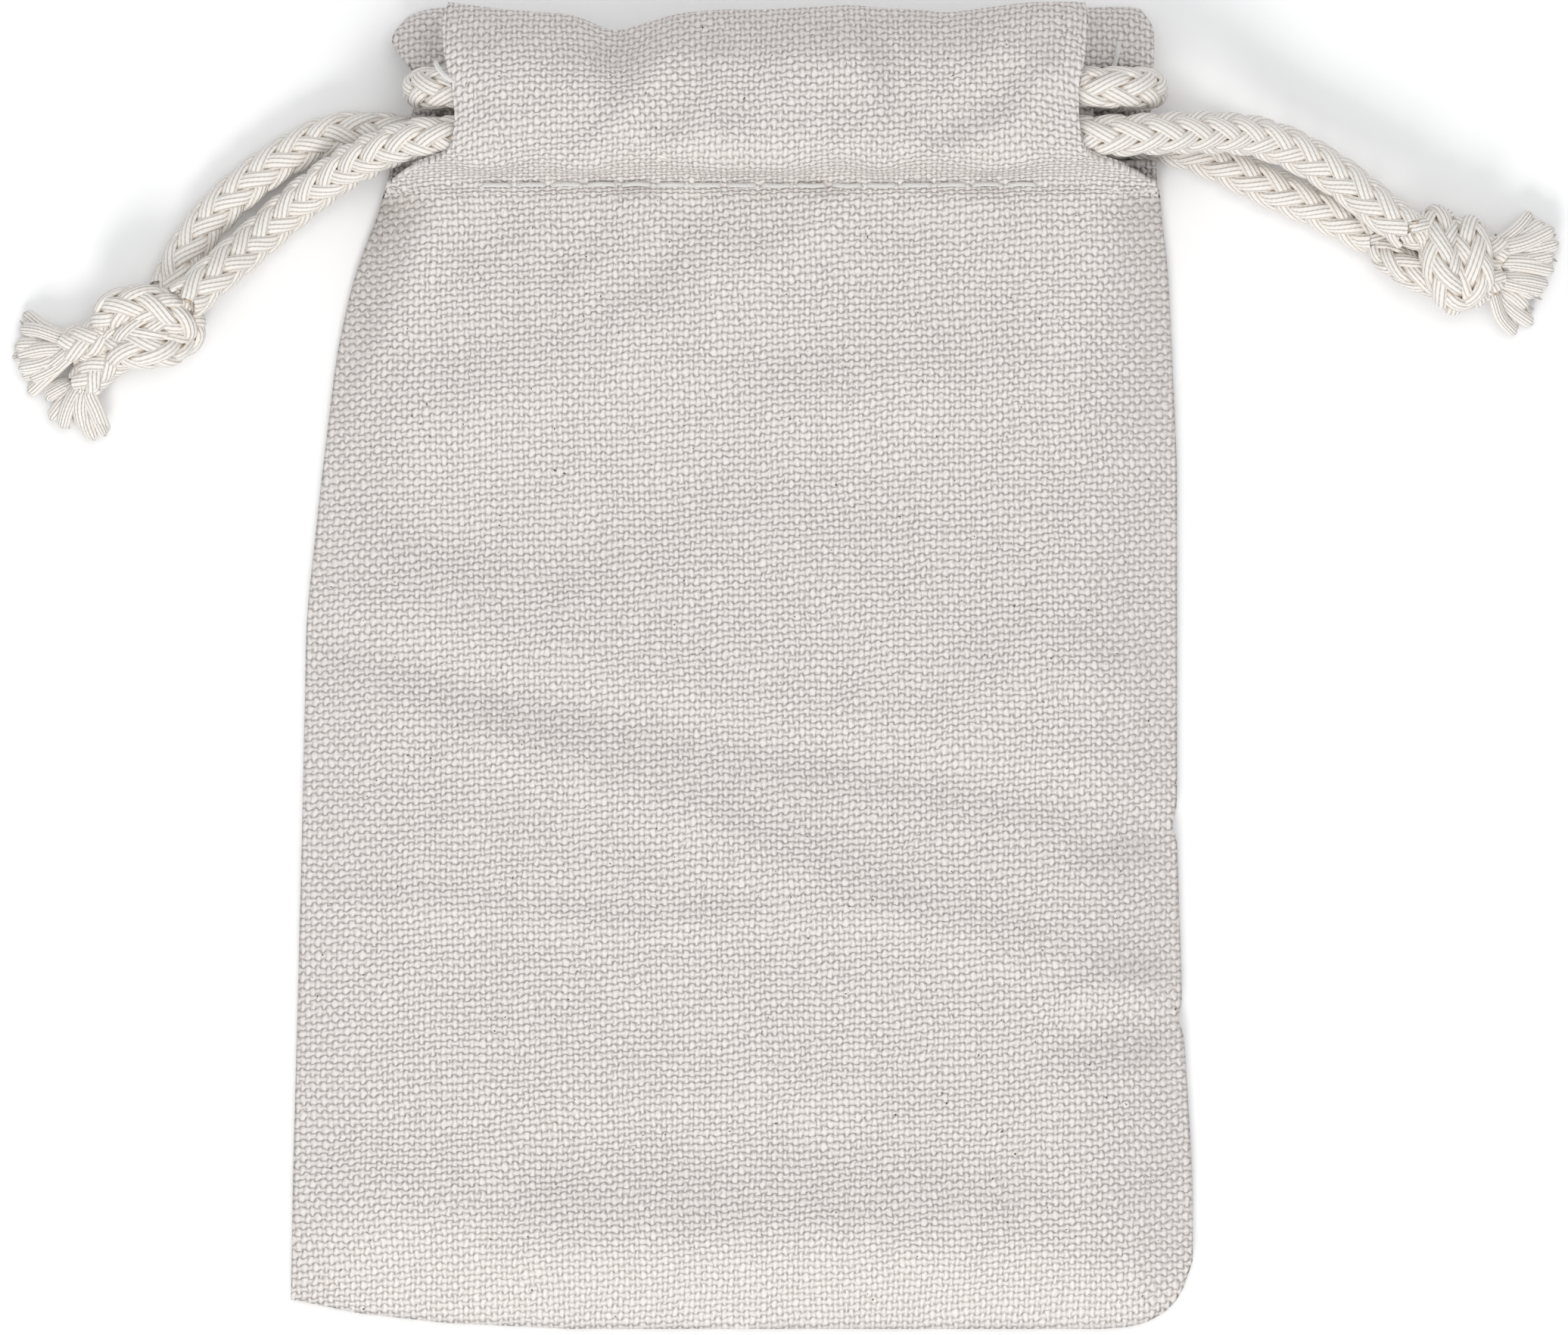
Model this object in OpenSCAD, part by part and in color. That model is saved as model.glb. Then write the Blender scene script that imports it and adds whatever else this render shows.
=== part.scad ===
// Small cotton pouch for knitting notions, closed by two drawstrings.
// It lies flat on its back: X to the right, Y towards the mouth, Z up.
// The origin is the middle of the pouch where it rests, cords left out.

/* [Pouch] */
// Length from the bottom edge to the fold of the mouth
pouch_len = 152; // [120:1:190]
// Width at the widest place, near the bottom
pouch_w = 103.6; // [84:0.2:130]
// How far the front panel stands above its seam
body_rise = 10; // [7:0.5:14]
// Thickness of one layer of canvas
cloth_t = 0.7; // [0.4:0.05:0.9]
// Upright thickness of the arched front panel
front_wall = 1; // [0.6:0.1:1.4]
// Width of the band in which the front panel rises from its side seams
side_band = 14; // [10:0.5:18]
// Width of the band in which the front panel rises from its bottom seam
bottom_band = 14; // [10:0.5:20]

/* [Casings] */
// Depth of each casing, from its closed edge to its fold
casing_depth = 22; // [19:0.5:27]
// Width of the flat closed edge of a casing
closed_edge = 2.2; // [1.6:0.1:2.6]
// Open height of the mouth between the two casings
mouth_gap = 6; // [5:0.5:9]
// Left end of the front casing, measured from the middle
front_left = 33; // [28:0.5:36]
// Right end of the front casing, measured from the middle
front_right = 39; // [34:0.5:43]
// Left end of the back casing, measured from the middle
back_left = 40.3; // [38:0.1:48]
// Right end of the back casing, measured from the middle
back_right = 47.2; // [45:0.1:56]
// Width of the turned hem at each end of a casing
hem_w = 3; // [2:0.5:4]
// How much thicker a turned hem is on the outside
hem_lip = 0.25; // [0.1:0.05:0.5]

/* [Seams] */
// Width of a seam allowance inside the pouch
allowance_w = 5; // [3.5:0.5:6]
// Distance from the outer edge to a seam allowance
allowance_inset = 1.8; // [1.6:0.1:2.6]
// Distance from the outer edge to the line of seam stitches
seam_line = 3; // [2.8:0.1:4]
// Thickness of the sewing thread
thread_d = 0.45; // [0.3:0.05:0.5]
// Spacing of the stitches
stitch_pitch = 4; // [3:0.25:6]
// Share of the spacing that the thread covers
stitch_fill = 0.8; // [0.6:0.05:0.9]
// Length of a bar tack at the foot of a slit
tack_len = 1.5; // [1:0.1:1.5]

/* [Drawstrings] */
// Diameter of the braided cord
cord_d = 5; // [4.2:0.1:5]
// Room around a cord inside its casing
cord_room = 0.3; // [0.2:0.05:0.5]
// Height of a cord where two of them press on each other, as a share of its diameter
press = 0.6; // [0.55:0.01:0.6]

/* [Hidden] */

// gap between two layers of cloth that are sewn on each other
ply_gap = 0.05;
half_w = pouch_w / 2;
half_len = pouch_len / 2;
// where the panels end and the casings begin
casing_y = half_len - casing_depth;
panel_len = pouch_len - casing_depth;

// levels, from the resting face upwards
two_ply = 2 * cloth_t;
tube_h = cord_d + 2 * cord_room + two_ply;
press_lift = (2 * press - 1) * cord_d + cord_room;
front_base = tube_h + mouth_gap;
front_rim = cloth_t + ply_gap + front_wall;
allowance_z = cloth_t + ply_gap;
allowance_top = allowance_z + two_ply;

// Canvas edges. Each row of an inset is [share of the panel's length, how
// far the edge is drawn in]; the lift is [share of the half width, height].
left_inset = [[0, 0], [0.1, 0.2], [0.4, 1.2], [0.62, 1.8], [0.75, 3.6],
    [0.86, 5.3], [0.93, 7.3], [1, 10.8]];
right_inset = [[0, 0], [0.08, 0], [0.24, 1.2], [0.4, 1.8], [0.75, 1.8],
    [0.93, 2.8], [1, 3.8]];
bottom_lift = [[-1, 3.4], [-0.85, 1.8], [-0.66, 0.7], [-0.38, 0], [0.8, 0],
    [0.89, 0.5], [0.955, 2.4], [0.99, 5.5], [1, 8.5]];

function side_x(side, v) = side * (half_w - lookup(v, side < 0 ? left_inset : right_inset));
function bottom_y(u) = lookup(u, bottom_lift) - half_len;
function mix(a, b, t) = a + (b - a) * t;

// A point of the canvas: u runs from -1 to 1 across, v from 0 to 1 up.
function panel_xy(u, v) = [
    mix(side_x(-1, v), side_x(1, v), (u + 1) / 2),
    mix(bottom_y(u), casing_y, v)
];
function soft(t) = sin(90 * min(1, max(0, t)));

// Height of the front panel's outer face
rise_by_length = [[0, 0.9], [0.4, 1], [0.75, 1], [1, 0]];
function rise(v) =
    let (body = lookup(v, rise_by_length))
    v < 0.75 ? body * body_rise : mix(front_base + two_ply - front_rim, body_rise, body);
function band(v) = v < 0.75 ? side_band : mix(side_band, side_band * 0.6, (v - 0.75) * 4);
function front_z(u, v) =
    let (p = panel_xy(u, v))
    let (to_side = min(p.x - side_x(-1, v), side_x(1, v) - p.x))
    let (to_bottom = p.y - bottom_y(u))
    front_rim + rise(v) * soft(to_side / band(v)) * soft(to_bottom / bottom_band);

// Steps across and along the canvas, closer together near its edges
steps = 20;
function near_edges(i) = -cos(180 * i / steps);
function from_foot(i) = 1 - cos(90 * i / steps);

panel_outline = concat(
    [for (i = [0:steps]) panel_xy(near_edges(i), 0)],
    [for (i = [1:steps]) panel_xy(1, from_foot(i))],
    [for (i = [steps:-1:1]) panel_xy(-1, from_foot(i))]
);

// A closed skin over rings that all have as many points
module skin(rings) {
    n = len(rings[0]);
    m = len(rings);
    polyhedron(
        points = [for (ring = rings) each ring],
        faces = concat(
            [[for (i = [0:n - 1]) i]],
            [for (j = [0:m - 2]) for (i = [0:n - 1]) let (k = (i + 1) % n)
                [j * n + i, (j + 1) * n + i, (j + 1) * n + k]],
            [for (j = [0:m - 2]) for (i = [0:n - 1]) let (k = (i + 1) % n)
                [j * n + i, (j + 1) * n + k, j * n + k]],
            [[for (i = [n - 1:-1:0]) (m - 1) * n + i]]
        )
    );
}

module back_panel() {
    color("linen") linear_extrude(cloth_t) polygon(panel_outline);
}

// The arched panel: an outer and an inner face over the same grid, with
// narrow walls between them round the edge
module front_panel() {
    row = steps + 1;
    under = row * row;
    last = steps * row;
    grid = [for (j = [0:steps]) for (i = [0:steps])
        let (u = near_edges(i), v = from_foot(j), p = panel_xy(u, v)) [p.x, p.y, front_z(u, v)]];
    rim = concat(
        [for (i = [0:steps - 1]) i], [for (j = [0:steps - 1]) j * row + steps],
        [for (i = [steps:-1:1]) last + i], [for (j = [steps:-1:1]) j * row]
    );
    color("linen") polyhedron(
        points = concat(grid, [for (p = grid) p - [0, 0, front_wall]]),
        faces = concat(
            [for (j = [0:steps - 1]) for (i = [0:steps - 1]) let (a = j * row + i)
                each [[a, a + row, a + row + 1], [a, a + row + 1, a + 1]]],
            [for (j = [0:steps - 1]) for (i = [0:steps - 1]) let (a = under + j * row + i)
                each [[a, a + row + 1, a + row], [a, a + 1, a + row + 1]]],
            [for (i = [0:len(rim) - 1]) let (a = rim[i], b = rim[(i + 1) % len(rim)])
                each [[a, b, b + under], [a, b + under, a + under]]]
        )
    );
}

// Where the two cords cross inside each casing
front_cross = 3;
back_cross = -2;
lift_by_reach = [[8, 1], [12, 0.85], [16, 0.5], [22, 0]];
press_by_reach = [[8, press], [12, mix(press, 1, 0.3)], [16, mix(press, 1, 0.7)], [20, 1]];

// Section of a casing above its base: outer and inner outline, [y, z].
// The cords lie between tail_y, where their ends come out, and loop_y.
tail_y = casing_y + 6.6;
loop_y = casing_y + 12.2;
cord_r = cord_d / 2;
over = tube_h - cloth_t;
function casing_outer(lift, grow) = [
    [casing_y, 0], [casing_y, two_ply + grow], [casing_y + closed_edge, two_ply + grow],
    [tail_y - cord_r - 1.8, 4.2 + grow], [tail_y - cord_r - 0.9, over + lift + grow],
    [tail_y - 0.6, tube_h + lift + grow], [loop_y + 2.4, tube_h - 0.1 + lift + grow],
    [loop_y + cord_r + 2.4, over - 0.9 + lift + grow], [half_len - 2.6, 4 + grow],
    [half_len - 1, 2.8 + grow], [half_len, 1.2], [half_len - 0.6, 0]
];
function casing_inner(lift) = [
    [casing_y + closed_edge + 0.6, cloth_t], [tail_y - cord_r - 1.1, 4],
    [tail_y - cord_r - 0.2, over - 0.8 + lift], [tail_y - 0.4, over + lift],
    [loop_y + 2.2, over - 0.2 + lift], [loop_y + cord_r + 1.6, over - 1.6 + lift],
    [half_len - 3.4, 3.2], [half_len - 1.6, 2], [half_len - 0.8, 1.4], [half_len - 0.8, cloth_t]
];

module casing_tube(base, cross, from_x, to_x, grow = 0) {
    slices = max(1, round(24 * (to_x - from_x) / (front_left + front_right)));
    xs = [for (i = [0:slices]) mix(to_x, from_x, i / slices)];
    function lift_at(x) = press_lift * lookup(abs(x - cross), lift_by_reach);
    function ring(x, outline) = [for (p = outline) [x, p.x, base + p.y]];
    difference() {
        skin([for (x = xs) ring(x, casing_outer(lift_at(x), grow))]);
        skin([for (x = concat(to_x + 1, xs, from_x - 1)) ring(x, casing_inner(lift_at(x)))]);
    }
}

// The loops of the cords turn outside the mouths of the casings.
left_turn_x = -30;
right_turn_x = 40;
turn_room = 0.6;
slot_y = tail_y - cord_r - 0.8;
slot_len = loop_y + cord_r + 1 - slot_y;

// What is left open for the cords at one end of a casing
module cord_slot(turn_x, side, low, high) {
    reach = 30;
    edge = turn_x + side * turn_room;
    translate([side > 0 ? edge : edge - reach, slot_y, low])
        cube([reach, slot_len, high - low]);
}

module back_slots() {
    for (side = [-1, 1])
        cord_slot(side < 0 ? left_turn_x : right_turn_x, side, cloth_t + ply_gap, 2 * tube_h);
}

module front_slot() {
    cord_slot(left_turn_x, -1, front_base - 1, front_base + cloth_t + ply_gap);
}

module back_casing() {
    color("linen") difference() {
        casing_tube(0, back_cross, hem_w - back_left, back_right - hem_w);
        back_slots();
    }
}

module front_casing() {
    color("linen") difference() {
        casing_tube(front_base, front_cross, hem_w - front_left, front_right - hem_w);
        front_slot();
    }
}

// Turned edges at the ends of the casings, thicker on their upper side
module front_hem(from_x, to_x) {
    color("bisque") difference() {
        casing_tube(front_base, front_cross, from_x, to_x, hem_lip);
        front_slot();
    }
}

module back_hem(from_x, to_x) {
    color("bisque") difference() {
        casing_tube(0, back_cross, from_x, to_x, hem_lip);
        back_slots();
    }
}

module front_left_slit_hem() { front_hem(-front_left, hem_w - front_left - ply_gap); }
module front_right_slit_hem() { front_hem(front_right - hem_w + ply_gap, front_right); }
module back_left_slit_hem() { back_hem(-back_left, hem_w - back_left - ply_gap); }
module back_right_slit_hem() { back_hem(back_right - hem_w + ply_gap, back_right); }

// Seam allowances: two layers of raw edge inside the pouch
allowance_v = [0.09, 0.97];
bottom_u = 0.8;
function side_in(side, v, inset) =
    [side_x(side, v) - side * inset, mix(-half_len, casing_y, v)];
function bottom_in(u, inset) = [u * half_w, bottom_y(u) + inset];

module side_allowance(side) {
    vs = [for (i = [0:12]) mix(allowance_v[0], allowance_v[1], i / 12)];
    back_vs = [for (i = [12:-1:0]) vs[i]];
    color("antiquewhite") translate([0, 0, allowance_z]) linear_extrude(two_ply) polygon(concat(
        [for (v = vs) side_in(side, v, allowance_inset)],
        [for (v = back_vs) side_in(side, v, allowance_inset + allowance_w)]
    ));
}

module left_seam_allowance() { side_allowance(-1); }
module right_seam_allowance() { side_allowance(1); }

module bottom_seam_allowance() {
    us = [for (i = [-8:8]) bottom_u * i / 8];
    back_us = [for (i = [8:-1:-8]) bottom_u * i / 8];
    color("antiquewhite") translate([0, 0, allowance_z]) linear_extrude(two_ply) polygon(concat(
        [for (u = us) bottom_in(u, allowance_inset)],
        [for (u = back_us) bottom_in(u, allowance_inset + allowance_w)]
    ));
}

// One stitch: a short straight thread lying on cloth whose top is at z
module stitch(from, to, z) {
    run = to - from;
    color("white") translate([from.x, from.y, z + ply_gap + thread_d / 2])
        rotate([0, 0, atan2(run.y, run.x)]) rotate([0, 90, 0])
            cylinder(h = norm(run), d = thread_d, $fn = 16);
}

side_stitches = floor((allowance_v[1] - allowance_v[0]) * panel_len / stitch_pitch);
bottom_stitches = floor(2 * bottom_u * half_w / stitch_pitch);
overlock_w = 1.6;

module side_seam_stitches(side) {
    for (i = [0:side_stitches - 1])
        let (v = mix(allowance_v[0], allowance_v[1], (i + 0.1) / side_stitches))
        let (w = v + stitch_fill * stitch_pitch / panel_len)
        stitch(side_in(side, v, seam_line), side_in(side, w, seam_line), allowance_top);
}

module side_overlock(side) {
    for (i = [0:side_stitches - 1])
        let (v = mix(allowance_v[0], allowance_v[1], (i + 0.5) / side_stitches))
        let (edge = allowance_inset + allowance_w)
        stitch(side_in(side, v, edge - overlock_w), side_in(side, v, edge), allowance_top);
}

module left_seam_stitches() { side_seam_stitches(-1); }
module right_seam_stitches() { side_seam_stitches(1); }
module left_overlock_thread() { side_overlock(-1); }
module right_overlock_thread() { side_overlock(1); }

module bottom_seam_stitches() {
    for (i = [0:bottom_stitches - 1])
        let (u = bottom_u * mix(-1, 1, (i + 0.1) / bottom_stitches))
        let (w = u + stitch_fill * stitch_pitch / half_w)
        stitch(bottom_in(u, seam_line), bottom_in(w, seam_line), allowance_top);
}

module bottom_overlock_thread() {
    for (i = [0:bottom_stitches - 1])
        let (u = bottom_u * mix(-1, 1, (i + 0.5) / bottom_stitches))
        let (edge = allowance_inset + allowance_w)
        stitch(bottom_in(u, edge - overlock_w), bottom_in(u, edge), allowance_top);
}

// The row that closes a casing lies on its flat edge, between the hems.
module casing_stitches(from_x, to_x, z) {
    count = floor((to_x - from_x) / stitch_pitch);
    y = casing_y + closed_edge / 2;
    for (i = [0:count - 1])
        let (x = from_x + (i + 0.1) * stitch_pitch)
        stitch([x, y], [x + stitch_fill * stitch_pitch, y], z);
}

module front_casing_stitches() {
    casing_stitches(hem_w - front_left, front_right - hem_w, front_base + two_ply);
}

module back_casing_stitches() {
    casing_stitches(hem_w - back_left, back_right - hem_w, two_ply);
}

// A dense little row across the top of each side seam
tack_drop = 0.52;
module bar_tack(side) {
    tack_v = allowance_v[1] - tack_drop / panel_len;
    for (i = [0:2])
        let (p = side_in(side, tack_v, seam_line + thread_d), y = p.y - i * (thread_d + ply_gap))
        stitch([p.x, y], [p.x - side * tack_len, y], allowance_top);
}

module left_bar_tack() { bar_tack(-1); }
module right_bar_tack() { bar_tack(1); }

// Routes of the two cords, from the knot round both casings and back.
left_route = [
    [-63.8, 41.8, 8], [-60.6, 44.8, 6.8], [-55.6, 49.2, 4], [-51, 53.2, 4], [-46, 56.8, 7.2],
    [-41, 59.2, 11.8], [-36.5, 60.4, 15], [-31, 60.6, 16.5], [-19, 60.6, 16.5],
    [-13, 60.8, 17.4], [-9, 61, 18.2], [-5, 61.6, 18.7], [-1, 62.5, 18.7], [3, 63.5, 18.7],
    [7, 64.5, 18.7], [11, 65.6, 18.7], [15, 66.5, 18.2], [19, 66.4, 17.4], [25, 66.2, 16.5],
    [32, 66.2, 16.5], [40, 66.2, 16.5], [43.3, 66.2, 15.6], [45.6, 66.2, 13.3],
    [46.5, 66.2, 10], [45.6, 66.2, 6.7], [43.3, 66.2, 4.4], [40, 66.2, 3.5], [30, 66.2, 3.5],
    [20, 66.2, 3.5], [14, 66.4, 3.3], [10, 66.5, 2.8], [6, 65.6, 2.5], [2, 64.5, 2.5],
    [-2, 63.5, 2.5], [-6, 62.5, 2.5], [-10, 61.6, 2.5], [-14, 61, 2.8], [-18, 60.8, 3.3],
    [-24, 60.6, 3.5], [-31, 60.6, 3.5], [-37, 60.8, 3.5], [-42, 61.4, 3.3], [-47, 61.2, 3],
    [-52.4, 58.6, 2.8], [-57, 55.3, 2.8], [-60.8, 51.7, 2.8], [-63.8, 47.6, 2.8],
    [-65.8, 43.4, 2.8]
];
right_route = [
    [76.5, 50, 8.2], [72.5, 53, 7.4], [68.5, 56.2, 6.6], [63.5, 59.2, 6.2], [58.5, 60.9, 7.6],
    [53.5, 61.2, 10.6], [48, 61, 14], [43, 60.7, 16], [37, 60.6, 16.5], [25, 60.6, 16.5],
    [19, 60.8, 16.3], [15, 61, 15.8], [11, 61.6, 15.5], [7, 62.5, 15.5], [3, 63.5, 15.5],
    [-1, 64.5, 15.5], [-5, 65.6, 15.5], [-9, 66.5, 15.8], [-13, 66.4, 16.3], [-19, 66.2, 16.5],
    [-25, 66.2, 16.5], [-30, 66.2, 16.5], [-33.3, 66.2, 15.6], [-35.6, 66.2, 13.3],
    [-36.5, 66.2, 10], [-35.6, 66.2, 6.7], [-33.3, 66.2, 4.4], [-30, 66.2, 3.5],
    [-24, 66.2, 3.5], [-18, 66.4, 4.4], [-14, 66.5, 5.2], [-10, 65.6, 5.7], [-6, 64.5, 5.7],
    [-2, 63.5, 5.7], [2, 62.5, 5.7], [6, 61.6, 5.7], [10, 61, 5.2], [14, 60.8, 4.4],
    [20, 60.6, 3.5], [30, 60.6, 3.5], [38, 60.6, 3.5], [43, 60.6, 3.5], [47, 60.4, 3.4],
    [51.5, 59.4, 3.1], [55.8, 57.6, 2.8], [61, 55, 2.8], [66.5, 52.6, 2.8], [72.5, 49.6, 2.8]
];
cord_sides = 12;

function unit(v) = v / norm(v);
function along(route, i) =
    unit(route[min(i + 1, len(route) - 1)] - route[max(i - 1, 0)]);
function level_side(way) =
    abs(way.x) + abs(way.y) < 0.2 ? [0, 1, 0] : unit([-way.y, way.x, 0]);

// Level sides of all the rings, kept from turning over in the loops
function ring_sides(route) = [
    for (i = 0, side = level_side(along(route, 0)); i < len(route);
        i = i + 1, next = level_side(along(route, min(i, len(route) - 1))),
        side = next * side < 0 ? -next : next) side
];

// Share of its height that a cord keeps at a point of its route
function kept(p) = lookup(abs(p.x - (p.z > front_base ? front_cross : back_cross)), press_by_reach);

module cord(route) {
    sides = ring_sides(route);
    color("ivory") skin([for (i = [0:len(route) - 1])
        let (side = sides[i], up = cross(along(route, i), side), share = kept(route[i]))
        [for (k = [0:cord_sides - 1]) let (a = 360 * (k + 0.5) / cord_sides)
            route[i] + cord_r * (side * cos(a) / share + up * sin(a) * share)]
    ]);
}

module left_drawstring() { cord(left_route); }
module right_drawstring() { cord(right_route); }

// A rounded lump through balls, each [centre, radius]
module lump(balls) {
    color("ivory") hull() for (ball = balls) translate(ball[0]) sphere(ball[1], $fn = 24);
}

// Each knot is tied in both ends of its cord at once.
module left_knot() {
    lump([[[-66, 39.7, 5.4], 4.6], [[-69.7, 39, 5.2], 4.6], [[-66.4, 38.5, 5.2], 4.6]]);
}

module right_knot() {
    lump([[[82.2, 49.3, 5.4], 4.6], [[82.2, 45.2, 5.2], 4.6], [[76.4, 46.6, 5], 4.6]]);
}

module left_frayed_ends() {
    lump([[[-73.2, 38.4, 4.2], 2.3], [[-80.8, 37.2, 2], 1.7], [[-82.3, 35.7, 1.9], 1.6]]);
    lump([[[-73, 36, 4], 2.3], [[-79.6, 29.9, 1.9], 1.6], [[-74.4, 28, 1.9], 1.6]]);
}

module right_frayed_ends() {
    lump([[[86, 48.4, 4.8], 2.4], [[92.8, 49.4, 2.2], 1.6], [[92.8, 46.9, 1.9], 1.5]]);
    lump([[[86, 45.2, 4.4], 2.4], [[92.2, 43.5, 1.9], 1.5], [[89.6, 40.3, 1.9], 1.5]]);
}

back_panel();
front_panel();
back_casing();
front_casing();
left_seam_allowance();
right_seam_allowance();
bottom_seam_allowance();
left_seam_stitches();
right_seam_stitches();
bottom_seam_stitches();
left_overlock_thread();
right_overlock_thread();
bottom_overlock_thread();
front_casing_stitches();
back_casing_stitches();
front_left_slit_hem();
front_right_slit_hem();
back_left_slit_hem();
back_right_slit_hem();
left_bar_tack();
right_bar_tack();
left_drawstring();
left_knot();
left_frayed_ends();
right_drawstring();
right_knot();
right_frayed_ends();
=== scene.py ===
import math
import random

import bmesh
import bpy
import numpy as np
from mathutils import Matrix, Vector


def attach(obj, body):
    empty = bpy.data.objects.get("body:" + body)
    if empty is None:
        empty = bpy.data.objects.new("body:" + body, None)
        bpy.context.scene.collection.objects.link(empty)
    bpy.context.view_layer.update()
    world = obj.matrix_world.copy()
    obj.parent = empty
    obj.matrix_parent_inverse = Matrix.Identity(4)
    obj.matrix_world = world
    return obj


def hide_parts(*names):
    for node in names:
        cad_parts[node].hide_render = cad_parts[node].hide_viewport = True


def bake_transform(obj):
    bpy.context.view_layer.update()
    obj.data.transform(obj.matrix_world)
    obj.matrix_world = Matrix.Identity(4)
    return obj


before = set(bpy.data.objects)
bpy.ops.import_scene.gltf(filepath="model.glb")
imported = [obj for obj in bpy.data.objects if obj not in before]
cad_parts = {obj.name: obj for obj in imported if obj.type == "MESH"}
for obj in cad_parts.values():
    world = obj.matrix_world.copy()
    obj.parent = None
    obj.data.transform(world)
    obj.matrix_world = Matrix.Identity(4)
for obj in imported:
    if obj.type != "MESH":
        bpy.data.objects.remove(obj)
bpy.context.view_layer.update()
MM = 0.001

# ---- Table top, light and camera ----
# The pouch lies flat on a plain pale table top. A soft lamp stands beyond its
# bottom edge, a weaker one hangs high above, and the pale room lights the rest.


class Link:
    """One output of a node. Arithmetic on it adds Math nodes to its material."""

    def __init__(self, socket):
        self.socket = socket

    def node(self, kind, settings=None, inputs=None, output=0):
        tree = self.socket.id_data
        made = tree.nodes.new("ShaderNode" + kind)
        for name, value in (settings or {}).items():
            setattr(made, name, value)
        for key, value in (inputs or {}).items():
            if isinstance(value, Link):
                tree.links.new(value.socket, made.inputs[key])
            else:
                made.inputs[key].default_value = value
        return Link(made.outputs[output])

    def math(self, operation, *values):
        return self.node("Math", {"operation": operation}, dict(enumerate(values)))

    def __add__(self, other):
        return self.math("ADD", self, other)

    def __sub__(self, other):
        return self.math("SUBTRACT", self, other)

    def __rsub__(self, other):
        return self.math("SUBTRACT", other, self)

    def __mul__(self, other):
        return self.math("MULTIPLY", self, other)

    __radd__ = __add__
    __rmul__ = __mul__

    def step(self, low, high):
        """0 below low and 1 above high, with a smooth turn between them."""
        return self.node(
            "MapRange",
            {"interpolation_type": "SMOOTHSTEP"},
            {"Value": self, "From Min": low, "From Max": high},
        )

    def mix(self, first, second):
        """The colour first where this is 0 and second where it is 1."""
        pair = {
            k: v if isinstance(v, Link) else (*v, 1) for k, v in ((6, first), (7, second))
        }
        return self.node("Mix", {"data_type": "RGBA"}, {0: self, **pair}, output=2)


def new_material(name, output="Object", **fixed):
    """A material with the values that are the same all over it, and its coordinates."""
    material = bpy.data.materials.new(name)
    material.use_nodes = True
    shader = material.node_tree.nodes["Principled BSDF"]
    for socket, value in fixed.items():
        shader.inputs[socket.replace("_", " ")].default_value = value
    place = material.node_tree.nodes.new("ShaderNodeTexCoord")
    return material, shader, Link(place.outputs[output])


def noise(place, scale, detail=2.0, output=0):
    settings = {"Vector": place, "Scale": scale, "Detail": detail}
    return place.node("TexNoise", None, settings, output)


def paint(shader, colour, height=None, depth=None):
    """Joins a colour to the shader, and a height as relief of the depth given, in metres."""
    tree = shader.id_data
    tree.links.new(colour.socket, shader.inputs["Base Color"])
    if height is not None:
        bump = height.node("Bump", None, {"Height": height, "Distance": depth, "Strength": 1.0})
        tree.links.new(bump.socket, shader.inputs["Normal"])


same_point = 1e-7


def finish_mesh(bm, name, material):
    """A bmesh becomes a smooth object at the origin."""
    bmesh.ops.remove_doubles(bm, verts=bm.verts, dist=same_point)
    mesh = bpy.data.meshes.new(name)
    bm.to_mesh(mesh)
    bm.free()
    mesh.materials.append(material)
    mesh.shade_smooth()
    made = bpy.data.objects.new(name, mesh)
    bpy.context.scene.collection.objects.link(made)
    return made


table_paint, table_shader, at = new_material("table_top", Roughness=0.9)
paint(table_shader, noise(at, 40).mix((0.93, 0.93, 0.935), (0.95, 0.95, 0.95)))
bm = bmesh.new()
half_table = 1.5
bmesh.ops.create_grid(bm, x_segments=1, y_segments=1, size=half_table)
table_top = finish_mesh(bm, "table_top", table_paint)

scene = bpy.context.scene
scene.view_settings.view_transform = "Standard"
world = bpy.data.worlds.new("room")
world.use_nodes = True
world.node_tree.nodes["Background"].inputs["Color"].default_value = (0.97, 0.985, 1, 1)
world.node_tree.nodes["Background"].inputs["Strength"].default_value = 0.66
scene.world = world


def soft_lamp(name, place, size, power, colour):
    lamp = bpy.data.lights.new(name, "AREA")
    lamp.size, lamp.energy, lamp.color = size, power, colour
    made = bpy.data.objects.new(name, lamp)
    made.location = place
    made.rotation_euler = (-Vector(place)).to_track_quat("-Z", "Y").to_euler()
    scene.collection.objects.link(made)


soft_lamp("key_lamp", (-0.12, -0.75, 0.72), 0.35, 4.4, (1, 0.985, 0.96))
soft_lamp("top_lamp", (0.1, 0.2, 1.4), 0.8, 5.2, (1, 1, 1))

# The camera looks straight down, and takes in view_width at the height of the cloth.
view_width, view_middle = 0.17944, 0.00485
camera_height, cloth_level = 2.0, 0.01
sensor = 36
lens = bpy.data.cameras.new("camera")
lens.sensor_width = sensor
lens.lens = sensor * camera_height / view_width
lens.clip_start, lens.clip_end = 0.1, 50
camera = bpy.data.objects.new("camera", lens)
camera.location = (view_middle, 0, camera_height + cloth_level)
scene.collection.objects.link(camera)
scene.camera = camera

# ---- Drawstrings ----
# Two braided cotton cords, 5 mm thick. Each runs round both casings and comes
# out double at its own side. Twelve flat strands of four yarns, six each way,
# pass over two and under two round a soft core.
cord_d = 5.0
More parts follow.
